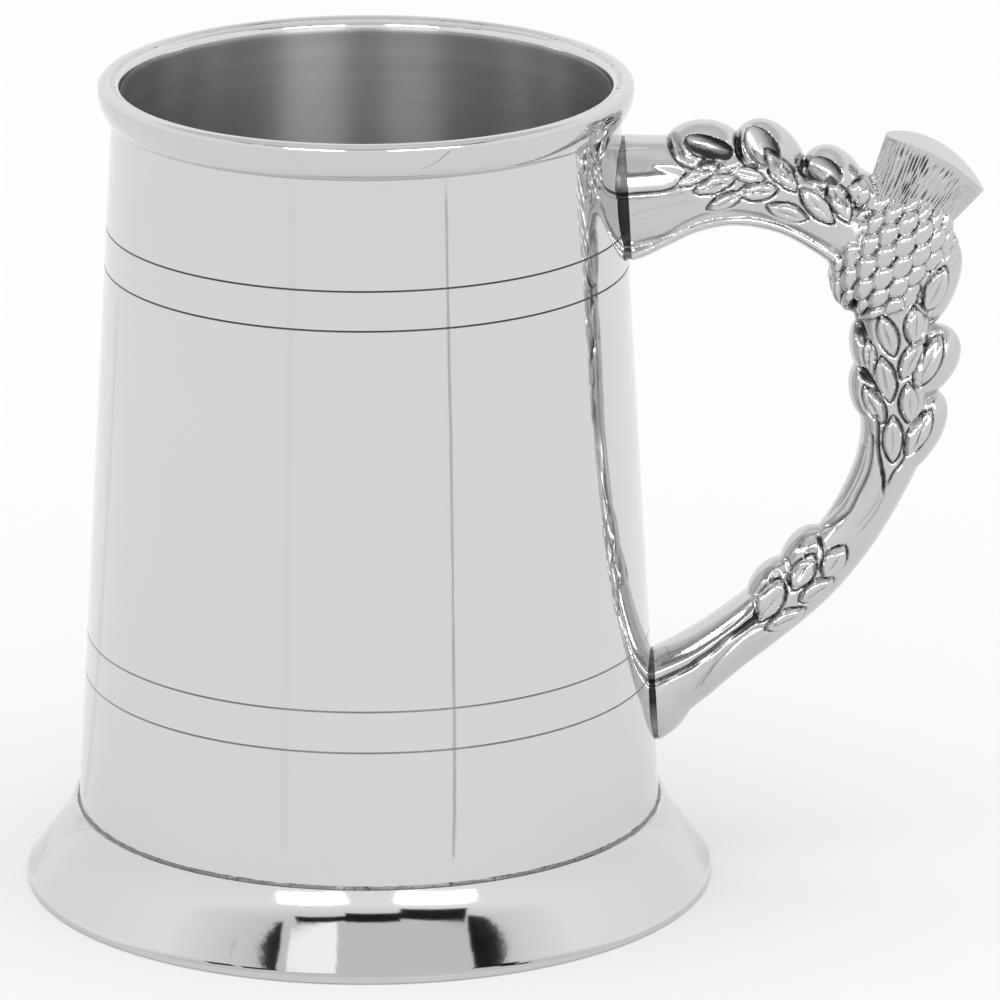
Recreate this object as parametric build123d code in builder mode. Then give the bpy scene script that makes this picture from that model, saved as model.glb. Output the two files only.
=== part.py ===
from build123d import *
import os
from math import atan, cos, degrees, radians, sin

os.makedirs("parts", exist_ok=True)

# One-pint pewter tankard, millimetres. The drum stands upright on Z with the table
# at Z 0, and the handle lies in the XZ plane on the +X side.

# Drum: a straight cone, open at both ends
lip_height = 126.0          # table to the top of the lip
drum_base_radius = 45.45    # the cone carried down to the table
drum_taper = 0.058          # radius lost for each millimetre of height
wall = 1.3
drum_bottom = 10.8
drum_top = 125.6
line_heights = (33.3, 39.6, 97.6, 103.6)    # turned lines, in two pairs
line_depth = 0.16

# Floor disc, let into the drum
floor_top = 13.4
floor_thickness = 1.4

# Foot: a spun skirt with an ogee flare and a narrow upright edge band
foot_radius = 52.86
foot_band = 1.15
foot_top = 12.3
foot_wall = 1.25

# Mouth rim: a drawn moulding round the outside of the mouth
rim_radius = 40.53
rim_bottom = 120.2

# Handle casting
joint_gap = 0.5             # solder between the drum and the flat ends of the handle
joint_inset = 0.8           # the solder stands this far inside the edge of the casting
upper_joint = (107.4, 9.6, 8.6)     # height, half height, half width
lower_joint = (27.7, 7.6, 5.6)
bulb_centre = (78.9, 97.8)
bulb_half_length = 9.7
bulb_radius = 7.8
bulb_tilt = 70              # degrees up from +X
tuft_root = Vector(79.8, 101.9)     # inside the bulb
tuft_cap = Vector(86.1, 112.7)      # middle of the line between the two ends of the cap
# Ovals of the tuft: share of the way from root to cap, height over the cap, half width, half depth
tuft_ovals = (
    (0, 0, 6.0, 4.6),
    (1, 0, 8.8, 4.4),
    (1, 1.2, 6.4, 4.0),
    (1, 2.0, 3.6, 3.2),
)
leaf_tip = 0.6              # radius of a leaf's blunt point


def drum_radius(z):
    """Outside radius of the drum at height z."""
    return drum_base_radius - drum_taper * z


def bore_radius(z):
    """Inside radius of the drum at height z."""
    return drum_radius(z) - wall


def lengthwise(x, z, tilt):
    """Plane through (x, z) in the handle's plane, its X turned tilt degrees up from +X."""
    return Plane(origin=(x, 0, z), x_dir=(cos(radians(tilt)), 0, sin(radians(tilt))), z_dir=(0, -1, 0))


def save(builder, name):
    """Label a finished piece and write its STEP file."""
    builder.part.label = name
    export_step(builder.part, f"parts/{name}.step")
    print(f"{name}: {builder.part.volume:.0f} mm3")


# Drum wall, thinned to a soft inner edge at the mouth
with BuildPart() as body_shell:
    with BuildSketch(Plane.XZ):
        with BuildLine():
            Polyline(
                (bore_radius(drum_bottom), drum_bottom),
                (drum_radius(drum_bottom), drum_bottom),
                (drum_radius(drum_top - 0.3), drum_top - 0.3),
                (drum_radius(drum_top) - 0.3, drum_top),
                (bore_radius(drum_top) + 0.35, drum_top - 0.1),
                (bore_radius(drum_top - 0.7), drum_top - 0.7),
                close=True,
            )
        make_face()
    revolve(axis=Axis.Z)
    with BuildSketch(Plane.XZ):
        with Locations(*[(drum_radius(z), z) for z in line_heights]):
            RegularPolygon(radius=line_depth, side_count=4)
    revolve(axis=Axis.Z, mode=Mode.SUBTRACT)
save(body_shell, "body_shell")

# Floor disc, its edge cut to the taper of the drum
floor_bottom = floor_top - floor_thickness
with BuildPart() as floor_disc:
    with BuildSketch(Plane.XZ):
        with BuildLine():
            Polyline(
                (0, floor_bottom),
                (bore_radius(floor_bottom), floor_bottom),
                (bore_radius(floor_top), floor_top),
                (0, floor_top),
                close=True,
            )
        make_face()
    revolve(axis=Axis.Z)
save(floor_disc, "floor_disc")

# Foot skirt: hollow ogee under the drum, standing on its upright edge band
skirt_edge = foot_radius - 0.12
skirt_lip = drum_radius(foot_top) + 0.65
with BuildPart() as foot:
    with BuildSketch(Plane.XZ):
        with BuildLine():
            outside = Spline(
                (skirt_lip, foot_top),
                (48.4, 7.9),
                (51.3, 4.0),
                (skirt_edge, foot_band),
                tangents=((0.45, -1), (0.05, -1)),
            )
            Polyline(
                outside @ 1,
                (foot_radius, foot_band - 0.1),
                (foot_radius, 0.2),
                (foot_radius - 0.2, 0),
                (foot_radius - foot_wall, 0),
                (foot_radius - foot_wall, foot_band),
            )
            inside = Spline(
                (foot_radius - foot_wall, foot_band),
                (50.4, 3.2),
                (47.5, 7.1),
                (drum_radius(drum_bottom), drum_bottom),
                tangents=((-0.05, 1), (-0.7, 1)),
            )
            Polyline(inside @ 1, (drum_radius(foot_top), foot_top), outside @ 0)
        make_face()
    revolve(axis=Axis.Z)
save(foot, "foot")

# Mouth rim: swells from the drum to a crease, then rolls over to the mouth
rim_crease = (rim_radius, lip_height - 1.3)
rim_crest = (rim_radius - 1.3, lip_height)
rim_inner = (drum_radius(drum_top) + 0.35, drum_top + 0.1)
with BuildPart() as mouth_rim:
    with BuildSketch(Plane.XZ):
        with BuildLine():
            ThreePointArc((drum_radius(rim_bottom), rim_bottom), (39.85, 121.9), rim_crease)
            Spline(rim_crease, rim_crest, rim_inner, tangents=((-0.15, 1), (-0.8, -1)))
            Polyline(
                rim_inner,
                (drum_radius(drum_top - 0.3), drum_top - 0.3),
                (drum_radius(rim_bottom), rim_bottom),
            )
        make_face()
    revolve(axis=Axis.Z)
save(mouth_rim, "mouth_rim")

# Solder runs round the drum, each a ring with a three-cornered section
solder_rings = {
    "rim_solder": (
        rim_inner,
        (drum_radius(drum_top - 0.3), drum_top - 0.3),
        (drum_radius(drum_top) - 0.3, drum_top),
    ),
    "foot_solder": (
        (drum_radius(foot_top), foot_top),
        (skirt_lip - 0.05, foot_top),
        (drum_radius(foot_top + 0.7), foot_top + 0.7),
    ),
    "floor_solder": (
        (bore_radius(floor_bottom), floor_bottom),
        (bore_radius(floor_bottom) - 0.9, floor_bottom),
        (bore_radius(floor_bottom - 0.9), floor_bottom - 0.9),
    ),
}
for ring_name, corners in solder_rings.items():
    with BuildPart() as solder_ring:
        with BuildSketch(Plane.XZ):
            with BuildLine():
                Polyline(*corners, close=True)
            make_face()
        revolve(axis=Axis.Z)
    save(solder_ring, ring_name)

# The flat ends of the casting lie in one plane, parallel to the side of the drum
end_plane = Plane(origin=(drum_radius(0) + joint_gap, 0, 0), z_dir=(1, 0, drum_taper))
end_heading = degrees(atan(drum_taper))
upper_z, upper_half_height, upper_half_width = upper_joint
lower_z, lower_half_height, lower_half_width = lower_joint

# Handle casting: two tapering arms that run into a thistle head.
# Stations along an arm: x, z, direction of travel in degrees, half width, and half thickness in Y,
# which is always the smaller, so that every oval starts at the same place
upper_arm = (
    (drum_radius(upper_z) + joint_gap, upper_z, end_heading, upper_half_height, upper_half_width),
    (44.5, 108.2, 5, 8.8, 8.2),
    (51.0, 109.2, 2, 7.0, 6.8),
    (57.5, 109.1, -8, 6.2, 6.1),
    (64.0, 107.2, -23, 5.9, 5.8),
    (70.0, 104.2, -33, 6.0, 5.8),
    (76.5, 99.5, -40, 5.6, 5.5),
)
lower_arm = (
    (79.2, 94.5, -88, 6.2, 6.1),
    (80.6, 85.5, -87, 6.6, 6.4),
    (80.4, 77.5, -90, 6.4, 6.2),
    (80.3, 70.0, -97, 5.8, 5.6),
    (78.0, 62.3, -112, 4.9, 4.8),
    (73.4, 53.9, -124, 4.6, 4.5),
    (67.4, 46.7, -132, 5.1, 5.0),
    (60.3, 40.2, -137, 4.6, 4.5),
    (54.6, 35.6, -143, 4.4, 4.3),
    (49.8, 31.6, -155, 5.4, 4.9),
    (drum_radius(lower_z) + joint_gap, lower_z, end_heading - 180, lower_half_height, lower_half_width),
)
# Leaves that stand out along the edges: x, z, tilt in degrees, half length, half width
edge_leaves = (
    (50.4, 115.6, 4, 5.6, 3.4),
    (60.5, 115.2, -12, 5.0, 4.0),
    (70.3, 111.6, -22, 5.0, 3.4),
    (87.0, 94.6, 76, 6.6, 3.5),
    (86.6, 81.4, 62, 5.8, 3.3),
    (85.0, 71.2, 66, 6.2, 3.2),
    (67.2, 52.4, 48, 4.6, 2.6),
    (61.0, 46.6, 46, 4.4, 2.6),
)
tuft_run = tuft_cap - tuft_root
with BuildPart() as handle:
    # Bulb of the thistle: an egg on the line that runs up into the tuft
    bulb_plane = lengthwise(*bulb_centre, bulb_tilt)
    with BuildSketch(bulb_plane):
        Ellipse(bulb_half_length, bulb_radius)
        split(bisect_by=Plane.XZ)
    revolve(axis=Axis(bulb_plane.origin, bulb_plane.x_dir))
    # Tuft: a flattened oval that rises out of the bulb and widens to an arched cap
    for share, over, half_width, half_depth in tuft_ovals:
        place = tuft_root + tuft_run * share + tuft_run.normalized() * over
        tuft_plane = Plane(origin=(place.X, 0, place.Y), x_dir=(0, 1, 0), z_dir=(tuft_run.X, 0, tuft_run.Y))
        with BuildSketch(tuft_plane):
            Ellipse(half_depth, half_width)
    loft(ruled=True)
    # Arms: oval sections along each line of stations
    for arm in (upper_arm, lower_arm):
        for x, z, heading, half_width, half_thickness in arm:
            along = (cos(radians(heading)), 0, sin(radians(heading)))
            with BuildSketch(Plane(origin=(x, 0, z), x_dir=(0, 1, 0), z_dir=along)):
                Ellipse(half_thickness, half_width)
        loft()
    # Leaves: two cones base to base, with a blunt point at each end
    for x, z, tilt, half_length, half_width in edge_leaves:
        for turn in (tilt, tilt + 180):
            along = (cos(radians(turn)), 0, sin(radians(turn)))
            with Locations(Plane(origin=(x, 0, z), z_dir=along)):
                Cone(half_width, leaf_tip, half_length, align=(Align.CENTER, Align.CENTER, Align.MIN))
save(handle, "handle")

# Solder necks that fill the wedge between the round drum and the flat handle ends
for neck_name, (z, half_height, half_width) in (
    ("upper_handle_solder", upper_joint),
    ("lower_handle_solder", lower_joint),
):
    with BuildPart() as neck:
        with BuildSketch(Plane(origin=(drum_radius(z) - 4, 0, z), x_dir=(0, 1, 0), z_dir=(1, 0, 0))):
            Ellipse(half_width - joint_inset, half_height - joint_inset)
        extrude(amount=8)
        split(bisect_by=end_plane, keep=Keep.BOTTOM)
        with BuildSketch(Plane.XZ):
            with BuildLine():
                Polyline(
                    (0, 0),
                    (drum_radius(0), 0),
                    (drum_radius(lip_height), lip_height),
                    (0, lip_height),
                    close=True,
                )
            make_face()
        revolve(axis=Axis.Z, mode=Mode.SUBTRACT)
    save(neck, neck_name)
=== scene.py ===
import math

import bmesh
import bpy
from mathutils import Matrix, Vector, kdtree, noise
from mathutils.geometry import interpolate_bezier


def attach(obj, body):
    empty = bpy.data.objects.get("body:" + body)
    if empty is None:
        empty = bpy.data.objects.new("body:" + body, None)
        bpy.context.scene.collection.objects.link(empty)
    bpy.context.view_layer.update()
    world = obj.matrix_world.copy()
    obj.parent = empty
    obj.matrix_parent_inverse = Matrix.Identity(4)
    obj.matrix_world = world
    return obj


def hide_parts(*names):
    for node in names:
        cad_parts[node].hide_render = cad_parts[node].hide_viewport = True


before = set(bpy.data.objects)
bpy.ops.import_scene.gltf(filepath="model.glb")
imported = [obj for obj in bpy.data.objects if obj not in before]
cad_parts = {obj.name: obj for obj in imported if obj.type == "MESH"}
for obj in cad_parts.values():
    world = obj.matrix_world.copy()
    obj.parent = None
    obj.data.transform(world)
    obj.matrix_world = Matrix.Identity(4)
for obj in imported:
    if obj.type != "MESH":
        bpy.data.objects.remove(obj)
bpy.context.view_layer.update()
mm = 0.001
# The dictionaries of the pieces are in millimetres and degrees
fullHeight = 126
curveSteps = 14
print("tankard: frame loaded")


def finishMesh(bm, name, materials, sharpAngle=32):
    # Makes a smooth object at the origin out of a mesh drawn in millimetres
    bmesh.ops.remove_doubles(bm, verts=bm.verts, dist=0.002)
    bmesh.ops.recalc_face_normals(bm, faces=bm.faces)
    bmesh.ops.scale(bm, vec=(mm, mm, mm), verts=bm.verts)
    mesh = bpy.data.meshes.new(name)
    bm.to_mesh(mesh)
    bm.free()
    mesh.shade_smooth()
    mesh.set_sharp_from_angle(angle=math.radians(sharpAngle))
    for material in materials:
        mesh.materials.append(material)
    piece = bpy.data.objects.new(name, mesh)
    bpy.context.scene.collection.objects.link(piece)
    return piece


def outlinePoints(stretches):
    # Two points are a straight stretch, four are a curve with its two handles
    points = []
    for stretch in stretches:
        corners = [Vector((r, 0, z)) for r, z in stretch]
        run = corners if len(corners) == 2 else interpolate_bezier(*corners, curveSteps)
        points += [point for point in run if not points or (point - points[-1]).length > 1e-5]
    return points


def turnedPiece(stretches, turns=288):
    # Spins a closed outline once round the upright axis
    bm = bmesh.new()
    points = outlinePoints(stretches)
    if (points[0] - points[-1]).length < 1e-4:
        points.pop()
    ring = [bm.verts.new(point) for point in points]
    edges = [bm.edges.new((ring[i - 1], ring[i])) for i in range(len(ring))]
    bmesh.ops.spin(bm, geom=ring + edges, cent=(0, 0, 0), axis=(0, 0, 1),
                   angle=math.tau, steps=turns, use_merge=True)
    return bm


def grey(value):
    return (value, value, value, 1)


def fillRamp(ramp, stops):
    # Stops are pairs of position and grey, in rising order
    for index, (position, level) in enumerate(stops):
        if index > 1:
            ramp.elements.new(position)
        ramp.elements[index].position = position
        ramp.elements[index].color = grey(level)


class Link:
    # A shader value that can be used in sums
    def __init__(self, finish, socket):
        self.finish = finish
        self.socket = socket

    def sum(self, operation, first, second):
        return self.finish.add("ShaderNodeMath", {"operation": operation}, {0: first, 1: second})

    def __add__(self, other):
        return self.sum("ADD", self, other)

    def __radd__(self, other):
        return self.sum("ADD", other, self)

    def __rsub__(self, other):
        return self.sum("SUBTRACT", other, self)

    def __mul__(self, other):
        return self.sum("MULTIPLY", self, other)

    def __rmul__(self, other):
        return self.sum("MULTIPLY", other, self)


class Finish:
    # One material and its nodes
    def __init__(self, name):
        self.material = bpy.data.materials.new(name)
        self.material.use_nodes = True
        self.tree = self.material.node_tree
        self.shader = self.tree.nodes["Principled BSDF"]
        self.place = self.add("ShaderNodeTexCoord", {}, {}, "Object")

    def feed(self, socket, value):
        # Joins a link to a socket, or sets a plain value there
        if isinstance(value, Link):
            self.tree.links.new(value.socket, socket)
        else:
            socket.default_value = value

    def add(self, kind, settings, sockets, output=0):
        node = self.tree.nodes.new(kind)
        for name, value in settings.items():
            setattr(node, name, value)
        for key, value in sockets.items():
            self.feed(node.inputs[key], value)
        return Link(self, node.outputs[output])

    def stretched(self, scale):
        return self.add("ShaderNodeMapping", {}, {"Vector": self.place, "Scale": scale})

    def grain(self, scale, detail, where=None, rough=0.5):
        sockets = {"Vector": where or self.place, "Scale": scale, "Detail": detail,
                   "Roughness": rough}
        return self.add("ShaderNodeTexNoise", {}, sockets, "Fac")

    def ramp(self, amount, stops):
        made = self.add("ShaderNodeValToRGB", {}, {0: amount})
        fillRamp(made.socket.node.color_ramp, stops)
        return made

    def blend(self, amount, first, second):
        sockets = {0: amount, 6: first, 7: second}
        return self.add("ShaderNodeMix", {"data_type": "RGBA"}, sockets, 2)

    def bump(self, height, distance, strength, under=None):
        sockets = {"Height": height, "Distance": distance, "Strength": strength}
        if under:
            sockets["Normal"] = under
        return self.add("ShaderNodeBump", {}, sockets)

    def set(self, **sockets):
        for key, value in sockets.items():
            self.feed(self.shader.inputs[key.replace("_", " ")], value)
        return self.material


def polishedPewter(name, tone=0.665):
    # Buffed bright outside: faint cloudiness, hair scratches and a very slight hand-finished wave
    f = Finish(name)
    cloud = f.grain(22, 4)
    hair = f.grain(900, 2, f.stretched((1, 1, 0.04)))
    swirl = f.grain(60, 2)
    wave = f.bump(f.grain(14, 1), 0.0006, 0.25)
    fine = f.bump(hair, 0.00001, 0.35, wave)
    metal = f.blend(cloud, grey(tone * 0.97), grey(tone * 1.03))
    return f.set(Base_Color=metal, Metallic=1.0, Roughness=0.04 + 0.05 * swirl * hair, Normal=fine)


def spunPewter(name, tone=0.62):
    # Inside: left from the lathe, its fine rings smearing every reflection up and down
    f = Finish(name)
    rings = f.grain(1.0, 6, f.stretched((3, 3, 2600)), 0.7)
    broad = f.grain(1.0, 3, f.stretched((9, 9, 420)), 0.6)
    cloud = f.grain(30, 4)
    height = rings * 0.6 + broad * 0.4
    metal = f.blend(broad * 0.6 + cloud * 0.4, grey(tone * 0.75), grey(tone * 1.3))
    return f.set(Base_Color=metal, Metallic=1.0, Roughness=0.23 + 0.12 * cloud, Anisotropic=0.9,
                 Anisotropic_Rotation=0.25, Normal=f.bump(height, 0.00002, 0.8))


def spunFloor(name, tone=0.30):
    # The same left on the floor, with its rings round the middle
    f = Finish(name)
    out = f.add("ShaderNodeVectorMath", {"operation": "LENGTH"}, {0: f.stretched((1, 1, 0))},
                "Value")
    rings = f.grain(1400, 5, f.add("ShaderNodeCombineXYZ", {}, {0: out}), 0.7)
    cloud = f.grain(35, 4)
    metal = f.blend(cloud, grey(tone * 0.8), grey(tone * 1.25))
    return f.set(Base_Color=metal, Metallic=1.0, Roughness=0.27 + 0.16 * cloud,
                 Normal=f.bump(rings, 0.00004, 0.8))


def castPewter(name, tone=0.59, dark=0.035, polish=0.10):
    # Polished on the high places, dark in the recesses that the mesh marks: partly patina, partly
    # painted shade
    f = Finish(name)
    recess = f.add("ShaderNodeAttribute", {"attribute_name": "recess"}, {}, "Fac")
    shadeAndStain = f.grain(420, 4)
    mask = f.ramp(recess * 0.85 + recess * shadeAndStain * 0.4, ((0.08, 0.0), (1.0, 1.0)))
    skin = f.grain(260, 3)
    metal = f.blend(f.grain(130, 3), grey(tone * 0.92), grey(tone * 1.06))
    # The recess mark blends in a dark tone: patina with painted shade
    return f.set(Base_Color=f.blend(mask, metal, grey(dark)), Metallic=1.0 - mask * 0.2,
                 Roughness=polish + 0.07 * skin + mask * 0.25, Normal=f.bump(skin, 0.00006, 0.35))


def solderFinish(name, tone, rough):
    # Lumpy, with dark pinholes
    f = Finish(name)
    lumps = f.grain(900, 4)
    pinholes = f.ramp(f.grain(1700, 2), ((0.30, 0.0), (0.38, 1.0)))
    metal = f.blend(pinholes, grey(tone * 0.25), grey(tone))
    return f.set(Base_Color=metal, Metallic=1.0, Roughness=rough + 0.2 * lumps,
                 Normal=f.bump(lumps, 0.00015, 0.7))


# Greys of the handle's two joints, by share of the full height: painted shadow and reflection,
# blackest part of the way up each
neckShadeTones = (
    (0.16, 0.62), (0.205, 0.50), (0.235, 0.02), (0.262, 0.02), (0.275, 0.18), (0.785, 0.50),
    (0.81, 0.20), (0.835, 0.03), (0.87, 0.03), (0.895, 0.20), (0.925, 0.50),
)


def neckFinish(name):
    # Solder of the two handle joints, with painted shadow and reflection by height, blackest part
    # of the way up each
    f = Finish(name)
    upright = f.stretched((1, 1, 1 / (fullHeight * mm)))
    height = f.add("ShaderNodeSeparateXYZ", {}, {0: upright}, "Z")
    # Painted shadow and reflection, by height
    tone = f.ramp(height + 0.02 * f.grain(300, 3), neckShadeTones)
    lumps = f.grain(900, 4)
    return f.set(Base_Color=f.blend(lumps, tone, grey(0.04)), Metallic=1.0,
                 Roughness=0.25 + 0.2 * lumps, Normal=f.bump(lumps, 0.00012, 0.6))


finishes = {
    "drum": polishedPewter("polishedDrum"),
    "bore": spunPewter("spunBore"),
    # Turned lines painted dark: partly oxide in the grooves, partly painted shade, the upper pair
    # darker than the lower
    "line": castPewter("turnedLine", 0.16, 0.03, 0.3),
    "faintLine": castPewter("faintLine", 0.34, 0.10, 0.3),
    "floor": spunFloor("spunFloor"),
    "foot": polishedPewter("polishedFoot", 0.63),
    "rim": polishedPewter("polishedRim", 0.62),
    "handle": castPewter("castHandle"),
    "tuft": castPewter("castTuft", 0.56, 0.05, 0.20),
    "seam": solderFinish("brightSolder", 0.24, 0.34),
    "rimSeam": solderFinish("rimSolder", 0.58, 0.12),
    "neck": neckFinish("solderPaintedShade"),
}
print("tankard: finishes made")


drumSize = {
    "tableRadius": 45.45, "taper": 0.058, "wall": 1.3, "bottom": 10.8, "top": 125.6, "edge": 0.3,
    "lines": (33.3, 39.6, 97.6, 103.6), "lineDepth": 0.15,
    # Lip rolled into the mouth, and how far above its lower end the spun inside starts
    "lipHeight": 2.1, "lipStep": 0.12, "lipIn": 0.9, "lipDown": 0.8, "spunRise": 1.0,
}


def drumRadius(z):
    return drumSize["tableRadius"] - drumSize["taper"] * z


def boreRadius(z):
    return drumRadius(z) - drumSize["wall"]


def makeDrum():
    top, bottom, cut, edge = (drumSize[key] for key in ("top", "bottom", "lineDepth", "edge"))
    path = [(drumRadius(bottom), bottom)]
    for z in drumSize["lines"]:
        path += [(drumRadius(z - cut), z - cut), (drumRadius(z) - cut, z),
                 (drumRadius(z + cut), z + cut)]
    path += [(drumRadius(top - edge), top - edge), (drumRadius(top) - edge, top)]
    inner = (boreRadius(top) + drumSize["lipStep"], top - drumSize["lipHeight"])
    stretches = list(zip(path, path[1:])) + [
        (path[-1], (drumRadius(top) - drumSize["lipIn"], top),
         (boreRadius(top), top - drumSize["lipDown"]), inner),
        (inner, (boreRadius(bottom), bottom)),
        ((boreRadius(bottom), bottom), path[0]),
    ]
    bm = turnedPiece(stretches)
    bmesh.ops.recalc_face_normals(bm, faces=bm.faces)
    spunTop = inner[1] + drumSize["spunRise"]
    for face in bm.faces:
        middle = face.calc_center_median()
        spun = face.normal.xy.dot(middle.xy) < 0 and middle.z < spunTop
        line = any(abs(middle.z - z) < cut for z in drumSize["lines"])
        # Upper turned lines get the darker painted shade, lower ones the fainter
        face.material_index = 1 if spun else 0 if not line else 2 if middle.z > top / 2 else 3
    names = ("drum", "bore", "line", "faintLine")
    return finishMesh(bm, "drumWall", [finishes[name] for name in names])


footSize = {
    "radius": 52.80, "band": 1.15, "top": 12.3, "wall": 1.25,
    "bevel": 0.2, "bandBevel": 0.12, "brim": 0.14, "lip": 0.8,
    # Curve points of the outside, of the neck above it and of the hollow underneath
    "flare": ((51.12, 3.35), (49.44, 5.7), (47.94, 7.9)),
    "waist": (46.92, 9.4), "lipOut": 0.62, "lipDown": 1.5,
    "hollow": ((46.8, 8.6), (50.6, 4.0)),
}


def makeFoot():
    radius, band, top, wall, bevel = (
        footSize[key] for key in ("radius", "band", "top", "wall", "bevel"))
    bottom, bandTop = drumSize["bottom"], band - footSize["bandBevel"]
    lip, brim = drumRadius(top) + footSize["lip"], radius - footSize["brim"]
    neck = (lip + footSize["lipOut"], top - footSize["lipDown"])
    stretches = [
        ((radius - wall, 0), (radius - bevel, 0)),
        ((radius - bevel, 0), (radius, bevel)),
        ((radius, bevel), (radius, bandTop)),
        ((radius, bandTop), (brim, band)),
        ((brim, band), *footSize["flare"]),
        (footSize["flare"][-1], footSize["waist"], neck, (lip, top)),
        ((lip, top), (drumRadius(top), top)),
        ((drumRadius(top), top), (drumRadius(bottom), bottom)),
        ((drumRadius(bottom), bottom), *footSize["hollow"], (radius - wall, band)),
        ((radius - wall, band), (radius - wall, 0)),
    ]
    return finishMesh(turnedPiece(stretches), "footSkirt", [finishes["foot"]])


rimSize = {
    "radius": 40.50, "bottom": 120.2, "crease": 124.7, "height": 125.98,
    "swell": (39.4, 120.7), "belly": 122.6,
    # Curve points of the crown, in from the radius and down from the height
    "crown": ((0.02, 0.35), (0.55, 0), (1.3, 0), (1.7, 0)),
    "innerOut": 0.35, "innerUp": 0.1, "easeOut": 0.1, "easeDown": 0.05,
}


def makeRim():
    radius, bottom, crease, height = (
        rimSize[key] for key in ("radius", "bottom", "crease", "height"))
    top, drumEdge = drumSize["top"], drumSize["top"] - drumSize["edge"]
    inner = (drumRadius(top) + rimSize["innerOut"], top + rimSize["innerUp"])
    ease = (inner[0] + rimSize["easeOut"], height - rimSize["easeDown"])
    crown = [(radius - inward, height - down) for inward, down in rimSize["crown"]]
    base = (drumRadius(bottom), bottom)
    stretches = [
        (base, rimSize["swell"], (radius, rimSize["belly"]), (radius, crease)),
        ((radius, crease), *crown[:3]),
        (crown[2], crown[3], ease, inner),
        (inner, (drumRadius(drumEdge), drumEdge)),
        ((drumRadius(drumEdge), drumEdge), base),
    ]
    return finishMesh(turnedPiece(stretches), "mouthMoulding", [finishes["rim"]])


footSeamSize = {"sunk": 0.1, "reach": 0.32, "height": 0.4, "wobble": 0.20, "seed": 3}
rimSeamSize = {"reach": 0.36, "rise": 0.1, "depth": 0.32, "wobble": 0.06, "seed": 8}
seamTurns = 360
# How quickly the wobble of a seam changes in each direction
wobbleRate = (0.9, 0.9, 1.5)


def makeSeam(name, corners, size, finish):
    # A run of solder with a rounded, slightly uneven face
    bm = turnedPiece([(corners[i - 1], corners[i]) for i in range(len(corners))], seamTurns)
    rising = [edge for edge in bm.edges if abs(edge.verts[0].co.z - edge.verts[1].co.z) > 0.2]
    bmesh.ops.subdivide_edges(bm, edges=rising, cuts=2)
    for vert in bm.verts:
        x, y, z = (value * rate for value, rate in zip(vert.co, wobbleRate))
        push = noise.noise(Vector((x + size["seed"], y, z)))
        vert.co.xy += vert.co.xy.normalized() * push * size["wobble"]
    return finishMesh(bm, name, [finish], sharpAngle=60)


def makeFootSeam():
    z, size = footSize["top"], footSeamSize
    corners = (
        (drumRadius(z) - size["sunk"], z - size["sunk"]),
        (drumRadius(z) + size["reach"], z),
        (drumRadius(z + size["height"]), z + size["height"]),
    )
    return makeSeam("footSeam", corners, size, finishes["seam"])


def makeRimSeam():
    z, size = drumSize["top"], rimSeamSize
    corners = (
        (drumRadius(z) + size["reach"], z + size["rise"]),
        (drumRadius(z - drumSize["edge"]), z - size["depth"]),
        (drumRadius(z) - size["depth"], z),
    )
    return makeSeam("rimSeam", corners, size, finishes["rimSeam"])


drum = makeDrum()
foot = makeFoot()
rim = makeRim()
footSeam = makeFootSeam()
rimSeam = makeRimSeam()
print("tankard: drum, foot and mouth turned")


def seat(x, y, z, heading, lean=0):
    # Place in the handle's frame: X runs along heading, Z looks out of the near face,
    # leaning away from the middle of the grip by lean degrees
    along = Vector((math.cos(math.radians(heading)), 0, math.sin(math.radians(heading))))
    across = Vector((-along.z, 0, along.x))
    if across.dot(Vector((x - grip["middle"][0], 0, z - grip["middle"][1]))) < 0:
        across.negate()
    face = Vector((0, -1, 0)) * math.cos(math.radians(lean)) + across * math.sin(math.radians(lean))
    basis = Matrix((along, face.cross(along), face)).transposed().to_4x4()
    return Matrix.Translation((x, y, z)) @ basis


def addPart(bm, part, matrix=None, bothFaces=False):
    # Moves a small mesh into the casting, and its mirror image to the far face
    mesh = bpy.data.meshes.new("part")
    part.to_mesh(mesh)
    if matrix:
        mesh.transform(matrix)
    bm.from_mesh(mesh)
    if bothFaces:
        mesh.transform(Matrix.Diagonal((1, -1, 1, 1)))
        mesh.flip_normals()
        bm.from_mesh(mesh)
    bpy.data.meshes.remove(mesh)
    part.free()


def easedLine(stations, steps=4):
    # A smooth line through the stations
    first, last = Vector(stations[0]), Vector(stations[-1])
    knots = [first * 2 - Vector(stations[1])] + [Vector(station) for station in stations]
    knots.append(last * 2 - Vector(stations[-2]))
    line = []
    for a, b, c, d in zip(knots, knots[1:], knots[2:], knots[3:]):
        for step in range(steps):
            t = step / steps
            line.append((b * 2 + (c - a) * t + (a * 2 - b * 5 + c * 4 - d) * t ** 2
                         + (b * 3 - a - c * 3 + d) * t ** 3) / 2)
    return line + [last]


def rodMesh(stations):
    # Oval rings along an eased line of stations, bridged and capped
    bm = bmesh.new()
    line = easedLine(stations)
    rings = []
    for index, (x, z, width, depth) in enumerate(line):
        before, after = line[max(index - 1, 0)], line[min(index + 1, len(line) - 1)]
        heading = math.degrees(math.atan2(after[1] - before[1], after[0] - before[0]))
        place = seat(x, 0, z, heading) @ Matrix.Rotation(math.radians(90), 4, "Y")
        oval = place @ Matrix.Diagonal((depth, width, 1, 1))
        made = bmesh.ops.create_circle(bm, cap_ends=False, segments=grip["rodSides"], radius=1,
                                       matrix=oval)
        rings.append(list({edge for vert in made["verts"] for edge in vert.link_edges}))
    for near, far in zip(rings, rings[1:]):
        bmesh.ops.bridge_loops(bm, edges=near + far)
    bmesh.ops.holes_fill(bm, edges=rings[0] + rings[-1], sides=0)
    bmesh.ops.recalc_face_normals(bm, faces=bm.faces)
    return bm


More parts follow.
